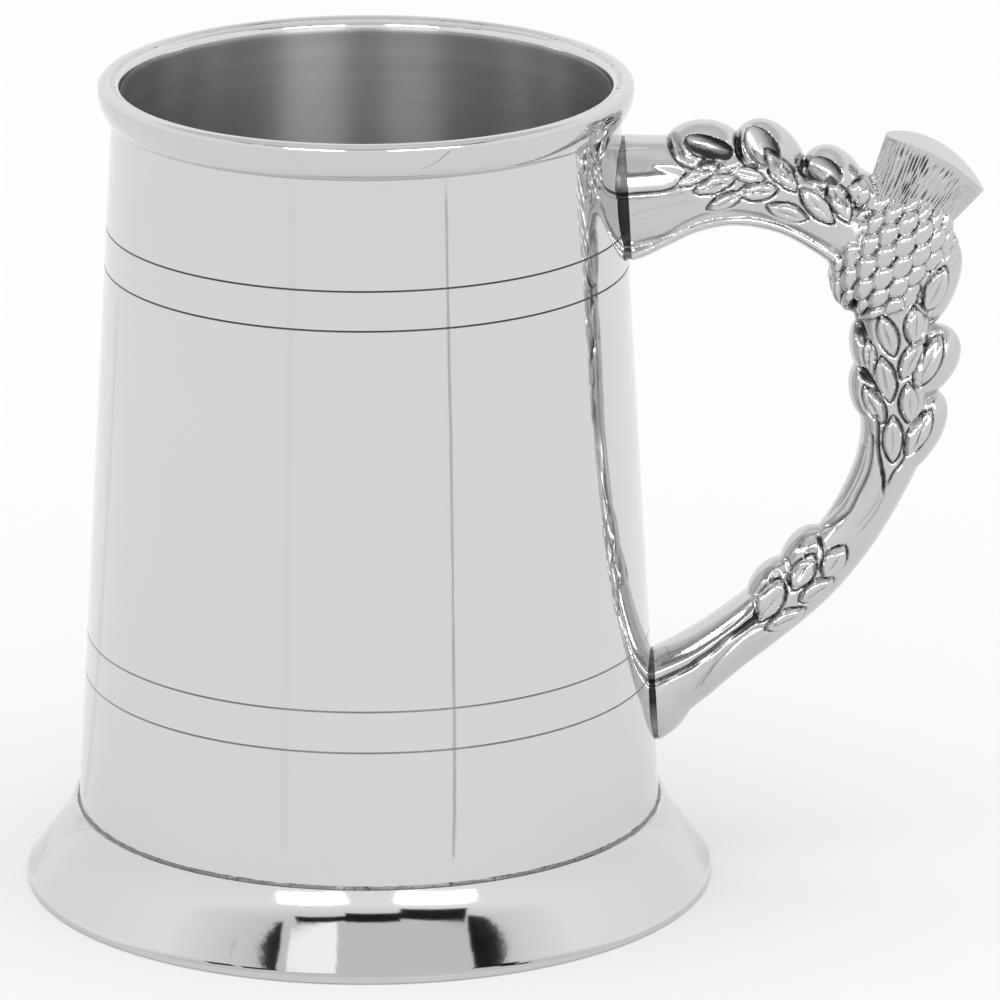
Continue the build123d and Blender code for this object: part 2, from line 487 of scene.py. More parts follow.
def longSphere(around, along):
    # A ball with its poles on X
    bm = bmesh.new()
    bmesh.ops.create_uvsphere(bm, u_segments=around, v_segments=along, radius=1,
                              matrix=Matrix.Rotation(math.radians(90), 4, "Y"))
    return bm


def lobeMesh(length, width, depth, swell):
    # A leaf seen edge on; swell fattens its tip
    bm = longSphere(*grip["lobeSides"])
    for vert in bm.verts:
        t, side, lift = vert.co
        vert.co = (t * length / 2, side * (1 + swell * t) * width / 2, lift * depth / 2)
    return bm


grip = {
    "middle": (58, 76), "jointGap": 0.32, "voxel": 0.21, "quickVoxel": 0.42, "faces": 190000,
    "soften": 2, "neckLength": 1.45, "neckShare": 0.975, "rodSides": 28, "lobeSides": (28, 20),
    "recessReach": 10, "recessDepth": 0.30, "sharpAngle": 70,
}
# Arms and ridges. Stations: x, z, half width in the handle's plane, half depth
arms = (
    ((37.0, 107.2, 9.4, 7.9), (41.0, 107.6, 8.9, 7.5), (45.0, 108.2, 8.1, 6.9),
     (50.5, 109.0, 6.5, 5.7), (57.5, 108.9, 5.6, 5.2), (64.0, 107.0, 5.3, 5.0),
     (70.0, 103.9, 5.3, 5.0), (76.5, 99.5, 5.0, 5.0)),
    ((79.0, 92.0, 5.6, 5.8), (80.3, 85.5, 5.6, 5.5), (80.1, 77.5, 5.5, 5.3), (80.4, 70.0, 5.2, 5.1),
     (78.0, 62.3, 4.5, 4.9), (73.4, 53.9, 4.3, 4.7), (67.4, 46.7, 4.5, 4.7), (60.3, 40.2, 4.3, 4.7),
     (54.9, 35.8, 4.2, 4.7), (49.0, 31.6, 5.0, 4.9), (43.0, 28.2, 6.0, 5.2),
     (40.0, 27.0, 6.6, 5.4)),
    ((37.0, 112.9, 3.9, 6.6), (41.0, 112.9, 3.8, 6.4), (46.0, 112.8, 3.7, 6.2),
     (51.0, 112.4, 3.6, 5.8), (58.0, 111.4, 3.4, 5.4), (65.0, 108.6, 3.2, 5.0),
     (71.0, 105.4, 3.0, 4.6)),
    ((37.0, 99.2, 1.8, 6.4), (41.0, 99.9, 1.7, 6.1), (45.0, 101.6, 1.6, 5.4),
     (50.0, 103.7, 1.5, 4.8), (56.0, 104.6, 1.5, 4.4), (63.0, 103.2, 1.5, 4.4),
     (69.5, 99.4, 1.5, 4.2), (73.5, 96.0, 1.5, 4.0)),
    ((64.0, 47.4, 1.4, 4.6), (58.5, 42.5, 1.9, 4.9), (53.3, 38.2, 2.2, 5.3), (48.9, 35.2, 2.4, 5.6),
     (44.0, 32.7, 2.4, 5.8), (40.0, 31.4, 2.4, 5.8)),
)
# Leaves seen edge on, in the middle plane: x, z, heading, length, width, depth, swell
edgeLobes = (
    (50.9, 114.9, 0, 12.2, 8.6, 10.8, 0.0), (60.9, 114.4, 152, 11.6, 8.4, 10.2, 0.22),
    (70.8, 110.8, 150, 10.4, 7.4, 9.8, 0.2), (75.4, 108.2, 130, 6.6, 4.8, 8.8, 0.1),
    (86.2, 94.2, 80, 15.0, 7.4, 8.2, 0.25), (85.6, 81.0, 68, 12.6, 8.0, 8.4, 0.25),
    (84.1, 70.2, 70, 14.0, 7.0, 8.2, 0.25), (76.0, 84.0, 92, 9.4, 5.4, 8.0, 0.1),
    (76.0, 77.0, 94, 9.6, 5.4, 7.8, 0.1), (67.0, 51.0, 46, 9.4, 6.4, 8.4, 0.1),
    (61.9, 46.1, 44, 9.4, 6.0, 8.4, 0.1), (43.6, 27.9, 55, 17.0, 12.6, 11.2, 0.0),
)
# Flat cheeks of the upper root, on both faces: x, y, z, length, width, depth, lean, turn
cheeks = ((40.0, -6.0, 112.55, 30, 7.8, 2.4, 30, 10),)
# Leaves raised on both faces: x, z, heading, length, width, rise
faceLeaves = (
    (50.0, 112.2, 25, 7.0, 2.4, 0.5), (52.6, 110.6, 20, 6.8, 2.7, 0.6),
    (57.4, 112.0, -14, 5.8, 2.6, 0.6), (54.2, 107.9, 26, 6.2, 2.4, 0.6),
    (59.0, 109.4, 6, 6.2, 3.0, 0.7), (62.6, 112.3, -51, 7.6, 3.1, 0.9),
    (63.5, 106.0, -18, 6.6, 2.9, 0.7), (68.0, 107.0, -47, 7.4, 3.2, 0.9),
    (71.4, 107.7, -64, 7.2, 3.2, 0.9), (78.9, 86.7, -72, 6.8, 3.2, 0.8),
    (83.0, 88.0, -92, 6.0, 3.1, 0.8), (86.2, 93.5, -112, 7.8, 3.2, 0.9),
    (76.2, 82.9, -81, 5.8, 1.9, 0.6), (78.7, 79.7, -78, 7.2, 3.3, 0.9),
    (82.5, 82.8, -117, 6.8, 3.0, 0.8), (85.3, 82.1, -115, 9.0, 3.6, 0.9),
    (77.0, 75.5, -62, 6.6, 2.8, 0.8), (82.3, 75.9, -88, 6.4, 3.0, 0.8),
    (79.9, 70.2, -90, 7.4, 3.2, 1.0), (83.9, 70.9, -119, 8.0, 3.2, 0.9),
    (66.5, 48.8, -122, 6.2, 3.4, 0.8), (71.2, 50.6, -123, 6.0, 3.6, 0.8),
    (61.5, 44.4, -119, 7.6, 4.0, 0.9), (68.6, 46.0, -147, 6.4, 3.2, 0.8),
    (63.9, 41.3, -153, 7.0, 3.0, 0.7), (74.4, 108.6, 70, 4.6, 3.6, 0.8),
)
leafGroove = {
    "halfWidth": 0.48, "depth": 0.42, "dark": 0.5, "rib": 0.30, "ribWidth": 0.22,
    "step": 0.12, "outlineSteps": 12,
}
# Hollows scooped out of both faces: x, z, heading, length, width, depth, and the painted shade and
# reflection with stain, darkest on the upper side
hollows = (
    (51.6, 116.0, -16, 7.8, 3.5, 2.8, 1.8), (52.1, 113.8, 0, 4.6, 1.5, 0.8, 0.5),
    (59.7, 115.8, -50, 6.8, 4.6, 2.4, 1.0), (69.3, 112.2, -25, 5.4, 3.6, 2.1, 1.0),
    (47.0, 116.0, -62, 4.2, 1.0, 0.5, 0.5), (67.6, 51.6, 40, 2.6, 1.7, 0.6, 0.0),
    (71.6, 52.6, 20, 2.4, 1.3, 0.5, 0.0), (62.2, 47.6, 60, 2.8, 1.7, 0.6, 0.0),
)
# Grooves cut in both faces: half width, depth, then points x, z
grooves = (
    (0.55, 0.6, ((37.8, 109.7), (41.9, 109.9), (44.8, 110.0), (46.4, 110.5), (47.3, 111.4))),
    (0.5, 0.08, ((40.1, 106.5), (43.7, 107.5), (49.2, 108.3), (52.1, 108.5))),
    (0.6, 0.16, ((40.4, 101.6), (44.8, 102.5), (47.4, 104.0), (50.3, 105.3), (53.6, 106.1),
                 (56.5, 105.9), (60.2, 105.1), (63.1, 104.0), (66.1, 102.4), (69.4, 100.5))),
    (0.5, 0.55, ((45.5, 118.0), (45.6, 116.6), (46.6, 114.8), (48.2, 113.4), (50.6, 112.9),
                 (54.4, 112.8))),
    (0.5, 0.6, ((56.3, 118.2), (55.9, 116.2), (56.4, 114.4), (58.0, 113.2), (60.4, 113.0))),
    (0.5, 0.6, ((66.4, 114.6), (66.2, 112.6), (67.0, 111.0), (69.0, 110.2), (71.0, 110.6))),
    (0.5, 0.5, ((62.8, 113.6), (63.6, 112.6), (65.2, 109.8))),
    (1.1, 0.9, ((73.7, 91.6), (74.3, 88.3), (75.3, 85.6), (75.8, 84.2))),
    (0.9, 0.75, ((75.3, 80.4), (77.0, 78.3), (78.3, 76.8))),
    (0.55, 0.65, ((77.5, 73.8), (77.5, 71.0), (77.6, 68.3), (78.1, 66.0), (78.6, 63.7),
                  (78.7, 60.8))),
    (0.5, 0.22, ((78.7, 61.2), (77.8, 59.1), (76.5, 57.1), (74.7, 54.8))),
    (0.45, 0.6, ((82.1, 67.5), (81.2, 66.0), (80.1, 64.7), (79.1, 62.2))),
    (0.5, 0.45, ((76.7, 70.3), (76.6, 67.6), (76.0, 64.5), (74.6, 61.4), (73.2, 58.5), (71.0, 56.4),
                 (69.3, 55.0))),
    (0.45, 0.22, ((75.7, 68.3), (74.8, 64.9), (73.3, 61.4), (71.5, 58.5), (69.3, 55.8))),
    (0.4, 0.16, ((78.3, 62.9), (77.6, 60.2), (76.0, 57.9), (74.1, 55.6))),
    (0.8, 0.5, ((58.6, 43.6), (56.3, 41.4), (54.4, 39.9), (52.2, 38.4), (49.6, 36.7), (47.1, 35.5),
                (43.3, 34.0))),
    (0.8, 0.5, ((59.3, 41.5), (57.1, 39.8), (54.8, 38.3), (53.0, 36.7), (50.8, 35.2), (48.9, 33.8),
                (43.4, 31.2))),
    (0.45, 0.26, ((62.2, 40.7), (59.3, 39.9), (57.1, 38.4), (54.9, 36.2), (53.2, 34.3),
                  (51.9, 32.3), (50.6, 30.0))),
    (0.4, 0.18, ((55.8, 37.4), (53.7, 35.7), (52.3, 33.5), (50.8, 31.4), (49.9, 29.2))),
    (0.45, 0.5, ((64.0, 50.4), (64.9, 48.4))),
    (0.45, 0.5, ((68.9, 54.0), (69.4, 51.4), (68.8, 48.2))),
)
carving = {
    # Carving fades in as the skin turns to face the near or far side
    "facingFrom": 0.12, "facingOver": 0.35,
    # Grooves grow shallow near their last point
    "endShare": 0.2, "endLength": 2, "grooveDark": 0.9,
    "hollowShape": 0.6, "shadeShape": 2.5, "shadeEdge": 4, "deepest": 0.8, "raisedClears": 0.3,
}
thistle = {
    "centre": (79.5, 98.7), "tilt": 57, "halfLength": 11.2, "radius": 7.3, "halfDepth": 6.7,
    "lowest": -0.82, "highest": 0.82, "rows": 7, "around": 15, "sides": (48, 32),
    "scaleWidth": 2.9, "scaleLength": 4.2, "rise": 1.0, "tipRise": 0.2, "skin": 1.4,
}


def clamp(value):
    return max(0.0, min(1.0, value))


def bulbShare(t):
    # Radius of the bulb at t, from -1 at its foot to 1 at its top
    return max(0.0, 1 - abs(t) ** 3) ** 0.5


def leafShare(t):
    # Half width of a pointed leaf at t, from -1 at one point to 1 at the other
    return max(0.0, 1 - t * t) ** 0.85


def nearLine(tree, points, reach):
    # Index of each point of the mesh near a line, with its distance from it
    found = {}
    for a, b in zip(points, points[1:]):
        steps = max(1, math.ceil((b - a).length / leafGroove["step"]))
        for step in range(steps + 1):
            for _, index, distance in tree.find_range(a.lerp(b, step / steps), reach):
                found[index] = min(distance, found.get(index, reach))
    return found.items()


def grooveShare(distance, half):
    # Depth of a groove at a distance from its middle line
    return (1 - (distance / half) ** 2) ** 2


def onPlan(x, z):
    return Vector((x, 0, z))


def leafOutline(x, z, turn, length, width):
    steps, back = leafGroove["outlineSteps"], turn.inverted()
    up = [step / steps for step in range(-steps, steps + 1)]
    edge = [(t, leafShare(t)) for t in up] + [(t, -leafShare(t)) for t in reversed(up)]
    return [onPlan(x, z) + back @ onPlan(t * length / 2, side * width / 2) for t, side in edge]


def carve(mesh):
    # Raises the leaves and scales, cuts the grooves and scoops the hollows, and gives back how
    # dark each point of the mesh should be: patina with painted shade in the grooves and leaf
    # outlines, painted shade and reflection on the upper side of the hollows
    bm = bmesh.new()
    bm.from_mesh(mesh)
    bm.normal_update()
    bm.verts.ensure_lookup_table()
    tree = kdtree.KDTree(len(bm.verts))
    for vert in bm.verts:
        tree.insert(onPlan(vert.co.x, vert.co.z) / mm, vert.index)
    tree.balance()
    raised, cut, dark, scoop = ([0.0] * len(bm.verts) for _ in range(4))
    for x, z, heading, length, width, rise in faceLeaves:
        turn = Matrix.Rotation(math.radians(heading), 3, "Y")
        for place, index, _ in tree.find_range(onPlan(x, z), length / 2):
            along, _, across = turn @ (place - onPlan(x, z))
            t = along * 2 / length
            edge = leafShare(t) * width / 2
            if abs(across) < edge:
                share = across / edge
                rib = math.exp(-(across / leafGroove["ribWidth"]) ** 2) * (1 - t * t)
                height = (rise * (1 - share ** 4) * (1 - t ** 4) ** 0.5
                          - leafGroove["rib"] * rib)
                raised[index] = max(raised[index], height)
        outline, half = leafOutline(x, z, turn, length, width), leafGroove["halfWidth"]
        for index, distance in nearLine(tree, outline, half):
            depth = leafGroove["depth"] * grooveShare(distance, half)
            cut[index] = max(cut[index], depth)
            # Leaf outlines marked dark: patina with painted shade
            dark[index] = max(dark[index], depth * leafGroove["dark"])
    for half, depth, points in grooves:
        line = [onPlan(*point) for point in easedLine(points)]
        for index, distance in nearLine(tree, line, half):
            place = onPlan(bm.verts[index].co.x, bm.verts[index].co.z) / mm
            ends = min(1.0, carving["endShare"] + (place - line[-1]).length / carving["endLength"])
            depthHere = depth * ends * grooveShare(distance, half)
            cut[index] = max(cut[index], depthHere)
            # Grooves marked dark: patina with painted shade
            dark[index] = max(dark[index], depthHere * carving["grooveDark"])
    for x, z, heading, length, width, depth, shadeAndStain in hollows:
        turn = Matrix.Rotation(math.radians(heading), 3, "Y")
        for place, index, _ in tree.find_range(onPlan(x, z), length / 2):
            along, _, across = turn @ (place - onPlan(x, z))
            reach = (along * 2 / length) ** 2 + (across * 2 / width) ** 2
            if reach < 1:
                scoop[index] = max(scoop[index], depth * (1 - reach) ** carving["hollowShape"])
                # Painted shade and reflection, darkest on the hollow's upper side and fading
                # towards its edge
                upper = 0.5 + across / width + 0.5 * along / length
                shade = shadeAndStain * clamp(upper) ** carving["shadeShape"]
                shade *= min(1.0, (1 - reach) * carving["shadeEdge"])
                dark[index] = max(dark[index], shade)
    scales = scaleRise(bm)
    marks = []
    for vert in bm.verts:
        facing = clamp((abs(vert.normal.y) - carving["facingFrom"]) / carving["facingOver"])
        index = vert.index
        vert.co += vert.normal * mm * facing * (raised[index] - cut[index] + scales[index])
        sunk = min(scoop[index] * mm, abs(vert.co.y) * carving["deepest"])
        vert.co.y -= math.copysign(sunk, vert.co.y) * facing
        marks.append(facing * clamp(dark[index] - raised[index] * carving["raisedClears"]))
    bm.to_mesh(mesh)
    bm.free()
    return marks


def scaleRise(bm):
    # Staggered rows of lapping scales round the bulb, each tip a little proud of the row above it
    length, radius, rows = thistle["halfLength"], thistle["radius"], thistle["rows"]
    low, step = thistle["lowest"], (thistle["highest"] - thistle["lowest"]) / (rows - 1)
    cx, cz = thistle["centre"]
    unturn = seat(cx, 0, cz, thistle["tilt"]).inverted()
    rise = [0.0] * len(bm.verts)
    for vert in bm.verts:
        along, across, out = unturn @ (vert.co / mm)
        out *= radius / thistle["halfDepth"]
        ring, t = math.hypot(across, out), along / length
        skin = 1 - (abs(ring - radius * bulbShare(t)) / thistle["skin"]) ** 4
        if skin <= 0 or abs(t) > 1:
            continue
        turn, place, best = math.atan2(across, out), (t - low) / step, 0.0
        for row in range(max(0, round(place) - 1), min(rows, round(place) + 2)):
            column = turn / math.tau * thistle["around"] - 0.5 * (row % 2)
            aside = (column - round(column)) * math.tau * ring / thistle["around"]
            ahead = (place - row) * step * length
            width = thistle["scaleWidth"] * max(0.4, bulbShare(low + step * row))
            lap = ahead * 2 / thistle["scaleLength"]
            reach = (aside * 2 / width) ** 2 + lap ** 2
            if reach < 1:
                best = max(best, (1 - reach) ** 0.5 * (1 + thistle["tipRise"] * lap))
        rise[vert.index] = thistle["rise"] * best * skin
    return rise


def markRecesses(mesh, reach, depth, cuts=None):
    # Stores for the finish how far each point lies below its smoothed surroundings, or was cut,
    # from 0 to 1; the finish darkens these places as patina and painted shade
    bm = bmesh.new()
    bm.from_mesh(mesh)
    bm.normal_update()
    start = [vert.co.copy() for vert in bm.verts]
    normals = [vert.normal.copy() for vert in bm.verts]
    for _ in range(reach):
        bmesh.ops.smooth_vert(bm, verts=bm.verts, factor=0.5,
                              use_axis_x=True, use_axis_y=True, use_axis_z=True)
    marks = mesh.attributes.new("recess", "FLOAT", "POINT")
    for vert, was, normal, mark in zip(bm.verts, start, normals, marks.data):
        sunk = max(0.0, (vert.co - was).dot(normal) / (depth * mm))
        mark.value = min(1.0, sunk + (cuts[vert.index] if cuts else 0.0))
    bm.free()


def applyModifiers(piece):
    # Bakes what the modifiers make into the piece's own mesh
    depsgraph = bpy.context.evaluated_depsgraph_get()
    mesh = bpy.data.meshes.new_from_object(piece.evaluated_get(depsgraph))
    mesh.name = piece.name
    piece.modifiers.clear()
    piece.data = mesh
    return mesh


def flattenEnds(mesh):
    # Cuts the casting off flat, just clear of the side of the drum, and closes the cuts
    bm = bmesh.new()
    bm.from_mesh(mesh)
    normal = Vector((1, 0, drumSize["taper"]))
    everything = bm.verts[:] + bm.edges[:] + bm.faces[:]
    cut = bmesh.ops.bisect_plane(bm, geom=everything, dist=0.00001, plane_no=normal,
                                 plane_co=((drumSize["tableRadius"] + grip["jointGap"]) * mm, 0, 0),
                                 clear_inner=True)
    openEdges = [part for part in cut["geom_cut"] if isinstance(part, bmesh.types.BMEdge)]
    bmesh.ops.holes_fill(bm, edges=openEdges, sides=0)
    bmesh.ops.triangulate(bm, faces=[face for face in bm.faces if len(face.verts) > 4])
    bm.to_mesh(mesh)
    bm.free()


def makeHandle():
    bm = bmesh.new()
    for rod in arms:
        addPart(bm, rodMesh(rod))
    for x, z, heading, length, width, depth, swell in edgeLobes:
        addPart(bm, lobeMesh(length, width, depth, swell), seat(x, 0, z, heading))
    for x, y, z, length, width, depth, lean, turn in cheeks:
        place = seat(0, 0, z, 0, lean)
        place.translation = (x, y, z)
        about = Matrix.Rotation(math.radians(turn), 4, "Z")
        turned = Matrix.Translation((x, y, 0)) @ about @ Matrix.Translation((-x, -y, 0))
        addPart(bm, lobeMesh(length, width, depth, 0), turned @ place, True)
    cx, cz = thistle["centre"]
    bulb = longSphere(*thistle["sides"])
    for vert in bulb.verts:
        fuller = bulbShare(vert.co.x) / max(0.05, math.hypot(vert.co.y, vert.co.z))
        vert.co.yz *= fuller
    bulbSize = Matrix.Diagonal((thistle["halfLength"], thistle["radius"], thistle["halfDepth"], 1))
    addPart(bm, bulb, seat(cx, 0, cz, thistle["tilt"]) @ bulbSize)
    bmesh.ops.scale(bm, vec=(mm, mm, mm), verts=bm.verts)
    mesh = bpy.data.meshes.new("handleCasting")
    bm.to_mesh(mesh)
    bm.free()
    piece = bpy.data.objects.new("handleCasting", mesh)
    bpy.context.scene.collection.objects.link(piece)
    remesh = piece.modifiers.new("melt", "REMESH")
    remesh.mode = "VOXEL"
    remesh.voxel_size = grip["voxel"] * mm
    soften = piece.modifiers.new("soften", "SMOOTH")
    soften.factor = 0.5
    soften.iterations = grip["soften"]
    mesh = applyModifiers(piece)
    cuts = carve(mesh)
    print("tankard: leaves and grooves carved")
    markRecesses(mesh, grip["recessReach"], grip["recessDepth"], cuts)
    share = grip["faces"] / (len(mesh.polygons) * 2)
    print("tankard: casting melted,", len(mesh.polygons), "faces")
    if share < 1:
        thin = piece.modifiers.new("thin", "DECIMATE")
        thin.ratio = share
        mesh = applyModifiers(piece)
    flattenEnds(mesh)
    mesh.shade_smooth()
    mesh.set_sharp_from_angle(angle=math.radians(grip["sharpAngle"]))
    mesh.materials.append(finishes["handle"])
    print("tankard: handle casting has", len(mesh.polygons), "faces")
    return piece


def makeNeck(name, casting, upper):
    # Solder filling one joint from the end of the casting to just inside the drum
    bm = bmesh.new()
    bm.from_mesh(casting.data)
    normal = Vector((1, 0, drumSize["taper"])).normalized()
    end = (drumSize["tableRadius"] + grip["jointGap"]) * mm * normal.x
    split, near = grip["middle"][1] * mm, 0.03 * mm
    away = [face for face in bm.faces if (face.calc_center_median().z > split) != upper
            or any(abs(vert.co.dot(normal) - end) > near for vert in face.verts)]
    bmesh.ops.delete(bm, geom=away, context="FACES")
    bmesh.ops.scale(bm, vec=(1 / mm, 1 / mm, 1 / mm), verts=bm.verts)
    grown = bmesh.ops.extrude_face_region(bm, geom=bm.faces[:], use_keep_orig=True)["geom"]
    moved = [part for part in grown if isinstance(part, bmesh.types.BMVert)]
    bmesh.ops.translate(bm, verts=moved, vec=-normal * grip["neckLength"])
    middle = sum((vert.co for vert in bm.verts), Vector()) / len(bm.verts)
    share = grip["neckShare"]
    bmesh.ops.scale(bm, vec=(1, share, share), space=Matrix.Translation(-middle), verts=bm.verts)
    return finishMesh(bm, name, [finishes["neck"]], sharpAngle=60)


tuft = {
    "root": (79.8, 101.9), "cap": (86.0, 112.55), "crown": 2.0, "dome": 0.15,
    "rootWidth": 6.0, "capWidth": 8.65, "flare": 1.1, "rootDepth": 4.5, "capDepth": 5.4,
    "bristles": 78, "sides": 7, "bristleDepth": 0.30, "bristleEdge": 1.6, "levels": 30,
    # How far bristles wander aside, and how much their depth varies, with how quickly each does
    "wander": 1.5, "wanderRate": 2.2, "wanderRise": 1.1,
    "leastDepth": 0.15, "varies": 2.0, "variesRate": 11, "variesRise": 5, "variesFrom": 5,
    "edgeDepth": 1.1, "sideDepth": 0.4, "fade": 9,
    "recessReach": 8, "recessDepth": 0.12, "rings": (0.25, 0.5, 0.8, 0.9),
}


def bristleInset(turn, share):
    # How far the skin lies in at a turn round the tuft and a share of the way up it
    side = Vector((math.cos(turn), math.sin(turn), 0))
    rise = Vector((0, 0, share * tuft["wanderRise"]))
    wander = tuft["wander"] * noise.noise(side * tuft["wanderRate"] + rise)
    ridge = 0.5 + 0.5 * math.cos(turn * tuft["bristles"] + math.tau * wander)
    rise = Vector((0, 0, share * tuft["variesRise"] + tuft["variesFrom"]))
    varied = tuft["varies"] * abs(noise.noise(side * tuft["variesRate"] + rise))
    uneven = tuft["leastDepth"] + varied * (tuft["edgeDepth"] + tuft["sideDepth"] * side.y)
    fade = min(1.0, (1 - share) * tuft["fade"])
    return tuft["bristleDepth"] * uneven * (1 - ridge) ** tuft["bristleEdge"] * fade


def makeTuft():
    # A flattened, widening brush of bristles with an arched cap
    (rx, rz), (cx, cz) = tuft["root"], tuft["cap"]
    run = Vector((cx - rx, cz - rz))
    heading, height, levels = math.degrees(math.atan2(run.y, run.x)), run.length, tuft["levels"]
    bm = bmesh.new()
    rings = []
    for level in range(levels + 1):
        share = level / levels
        width = tuft["rootWidth"] + (tuft["capWidth"] - tuft["rootWidth"]) * share ** tuft["flare"]
        deep = tuft["rootDepth"] + (tuft["capDepth"] - tuft["rootDepth"]) * share
        made = bmesh.ops.create_circle(bm, cap_ends=False, radius=1,
                                       segments=tuft["bristles"] * tuft["sides"])
        for vert in made["verts"]:
            turn = math.atan2(vert.co.y, vert.co.x)
            inset, (x, y) = bristleInset(turn, share), (math.cos(turn), math.sin(turn))
            arch = tuft["crown"] * share * (1 - y ** 2)
            vert.co = ((deep - inset) * x, (width - inset) * y, height * share + arch)
        rings.append(list({edge for vert in made["verts"] for edge in vert.link_edges}))
    for near, far in zip(rings, rings[1:]):
        bmesh.ops.bridge_loops(bm, edges=near + far)
    bmesh.ops.holes_fill(bm, edges=rings[0], sides=0)
    cap = bmesh.ops.holes_fill(bm, edges=rings[-1], sides=0)["faces"]
    for thickness in tuft["rings"]:
        bmesh.ops.inset_region(bm, faces=cap, thickness=thickness, depth=0, use_even_offset=True)
        for vert in cap[0].verts:
            flat = 1 - (vert.co.y / tuft["capWidth"]) ** 2
            dome = tuft["dome"] * (1 - (vert.co.x / tuft["capDepth"]) ** 2)
            vert.co.z = height + (tuft["crown"] + dome) * flat
    bmesh.ops.triangulate(bm, faces=cap)
    place = seat(rx, 0, rz, heading) @ Matrix.Rotation(math.radians(90), 4, "Y")
    bmesh.ops.transform(bm, matrix=place, verts=bm.verts)
    piece = finishMesh(bm, "thistleTuft", [finishes["tuft"]], sharpAngle=50)
    # The recess mark between the bristles is painted dark by the finish, as patina and painted
    # shade
    markRecesses(piece.data, tuft["recessReach"], tuft["recessDepth"])
    return piece


handle = makeHandle()
tuftPiece = makeTuft()
upperNeck = makeNeck("upperNeck", handle, True)
lowerNeck = makeNeck("lowerNeck", handle, False)
print("tankard: necks have", len(upperNeck.data.polygons), len(lowerNeck.data.polygons), "faces")
print("tankard: handle made")


for piece, nodes, slot in (
    (drum, ["body_shell"], "polished_drum"),
    (foot, ["foot"], "polished_foot"),
    (rim, ["mouth_rim"], "polished_rim"),
    (footSeam, ["foot_solder"], "solder"),
    (rimSeam, ["rim_solder"], "solder"),
    (handle, ["handle"], "cast_handle"),
    (tuftPiece, ["handle"], "cast_handle"),
    (upperNeck, ["upper_handle_solder"], "dark_solder"),
    (lowerNeck, ["lower_handle_solder"], "dark_solder"),
):
    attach(piece, "root")
    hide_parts(*nodes)

for node, finish in (("floor_disc", "floor"), ("floor_solder", "seam")):
    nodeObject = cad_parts[node]
    for materialSlot in nodeObject.material_slots:
        materialSlot.material = finishes[finish]
print("tankard: pieces placed")


# Directions of the studio are an azimuth from the front and an elevation, both in degrees
studio = {
    "floorTone": 0.92, "floorSize": 6.0,
    "cameraPlace": (0.0, -1.2856, 0.4549), "cameraTurn": (72.90, 0.0, -0.90),
    "lens": 316.6, "sensor": 36.0,
    # Tent: share of the way up against brightness
    "tent": ((0.0, 0.98), (0.60, 0.98), (0.71, 1.02), (0.79, 1.06), (0.87, 0.74), (0.94, 0.76),
             (1.0, 0.92)),
    "tentPower": 1.05,
    # Soft boxes: name, azimuth, elevation, distance, width and height in metres, watts, and
    # whether metal mirrors it or it lights matt surfaces
    "boxes": (("leftBox", -23, 31, 1.5, 0.60, 0.20, 5.0, True),
              ("rightBox", 26, 31, 1.5, 0.72, 0.20, 6.4, True),
              ("leftPanel", -24, 48.3, 1.5, 0.35, 0.10, 0.065, True),
              ("fillBox", 0, 89, 2.0, 2.0, 2.0, 8.0, False)),
    # Dark openings of the tent, seen only in reflections: azimuth, elevation, width and height
    # in degrees
    "openings": ((-20, 43.6, 16, 2.8), (1, 42.9, 17, 5.2), (26, 40.8, 21, 6.4),
                 (50, 44.8, 13, 6.0), (61, 48.4, 9, 3.4), (-60, 44.6, 8, 4.6),
                 (-44, 46.4, 10, 4.6)),
    "openingDistance": 1.1,
    # Joins of the floor sheet in millimetres: near end x, y, width, far end x, y, width, tone
    "joins": ((-56, -106, 5, -424, -672, 46, 0.875), (50, -101, 1.5, 446, -651, 13, 0.50),
              (-61, 32, 6, -297, 285, 26, 0.85)),
    "joinHeight": 0.4,
}


def around(azimuth, elevation, distance):
    a, e = math.radians(azimuth), math.radians(elevation)
    direction = Vector((math.sin(a) * math.cos(e), -math.cos(a) * math.cos(e), math.sin(e)))
    return direction * distance


def mattFinish(name, tone, rough=0.9):
    return Finish(name).set(Base_Color=tone, Roughness=rough, Specular_IOR_Level=0.0)


def studioSheet(name, corners, finish, reflectedOnly=False):
    # A four-cornered sheet that belongs to the studio and not to the part
    bm = bmesh.new()
    bmesh.ops.create_grid(bm, x_segments=1, y_segments=1, size=1)
    for vert in bm.verts:
        vert.co = corners[(0 if vert.co.x < 0 else 2) + (0 if vert.co.y < 0 else 1)]
    mesh = bpy.data.meshes.new(name)
    bm.to_mesh(mesh)
    bm.free()
    mesh.materials.append(finish)
    sheet = bpy.data.objects.new(name, mesh)
    bpy.context.scene.collection.objects.link(sheet)
    if reflectedOnly:
        sheet.visible_camera = sheet.visible_diffuse = sheet.visible_shadow = False


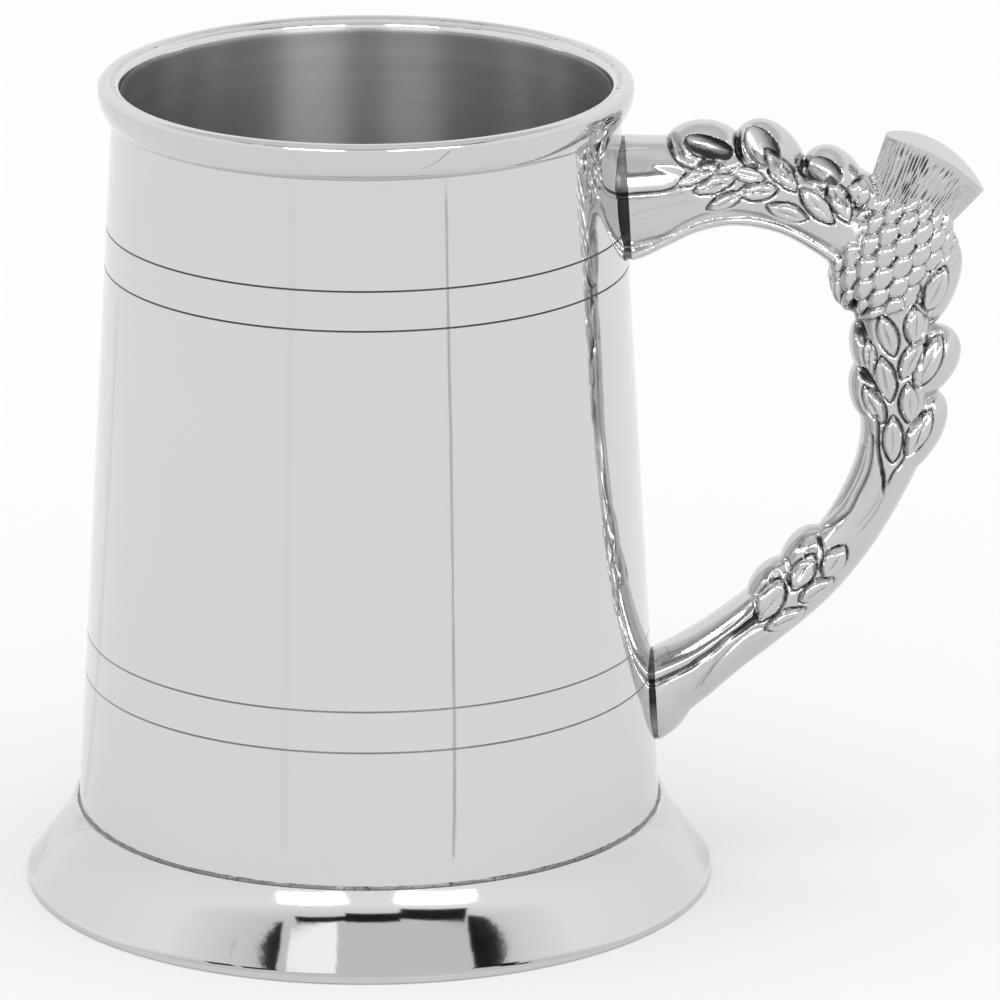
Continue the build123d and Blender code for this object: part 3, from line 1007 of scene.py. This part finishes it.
def makeSheets():
    # The floor, the dark openings of the tent and the joins of the floor sheet
    f = Finish("paleFloor")
    tone, half = studio["floorTone"], studio["floorSize"] / 2
    pale = f.set(Base_Color=f.blend(f.grain(8, 2), grey(tone * 0.99), grey(tone)), Roughness=0.9,
                 Specular_IOR_Level=0.0)
    corners = [Vector((x, y, 0)) for x in (-half, half) for y in (-half, half)]
    studioSheet("floorSheet", corners, pale)
    black = mattFinish("tentOpening", grey(0.01), 1.0)
    for index, (azimuth, elevation, wide, high) in enumerate(studio["openings"]):
        reach = wide / 2 / math.cos(math.radians(elevation))
        corners = [around(azimuth + side * reach, elevation + up * high / 2,
                          studio["openingDistance"]) for side in (-1, 1) for up in (-1, 1)]
        studioSheet(f"tentOpening{index}", corners, black, True)
    for index, (x0, y0, width0, x1, y1, width1, tone) in enumerate(studio["joins"]):
        run = Vector((x1 - x0, y1 - y0, 0)).normalized()
        side = Vector((-run.y, run.x, 0))
        corners = [(Vector((x, y, studio["joinHeight"])) + side * way * width / 2) * mm
                   for x, y, width in ((x0, y0, width0), (x1, y1, width1)) for way in (-1, 1)]
        join = mattFinish(f"sheetJoin{index}", grey(tone))
        studioSheet(f"sheetJoin{index}", corners, join, True)


def makeBoxes(scene):
    for name, azimuth, elevation, distance, width, height, watts, mirrored in studio["boxes"]:
        lamp = bpy.data.lights.new(name, "AREA")
        lamp.shape, lamp.size, lamp.size_y, lamp.energy = "RECTANGLE", width, height, watts
        box = bpy.data.objects.new(name, lamp)
        box.location = around(azimuth, elevation, distance)
        box.rotation_euler = (-box.location).to_track_quat("-Z", "Y").to_euler()
        box.visible_glossy = mirrored
        box.visible_diffuse = not mirrored
        scene.collection.objects.link(box)


def makeTent(scene):
    # Brightness of the tent by height
    world = bpy.data.worlds.new("tent")
    world.use_nodes = True
    nodes, links = world.node_tree.nodes, world.node_tree.links
    split = nodes.new("ShaderNodeSeparateXYZ")
    links.new(nodes.new("ShaderNodeTexCoord").outputs["Generated"], split.inputs[0])
    height = nodes.new("ShaderNodeMapRange")
    height.inputs["From Min"].default_value = -1
    links.new(split.outputs["Z"], height.inputs["Value"])
    ramp = nodes.new("ShaderNodeValToRGB")
    fillRamp(ramp.color_ramp, studio["tent"])
    links.new(height.outputs["Result"], ramp.inputs[0])
    links.new(ramp.outputs[0], nodes["Background"].inputs["Color"])
    nodes["Background"].inputs["Strength"].default_value = studio["tentPower"]
    scene.world = world


def makeCamera(scene):
    lens = bpy.data.cameras.new("camera")
    lens.lens = studio["lens"]
    lens.sensor_width = studio["sensor"]
    camera = bpy.data.objects.new("camera", lens)
    camera.location = studio["cameraPlace"]
    camera.rotation_euler = [math.radians(turn) for turn in studio["cameraTurn"]]
    scene.collection.objects.link(camera)
    scene.camera = camera
    scene.view_settings.view_transform = "Standard"


makeSheets()
makeBoxes(bpy.context.scene)
makeTent(bpy.context.scene)
makeCamera(bpy.context.scene)
print("tankard: studio set")
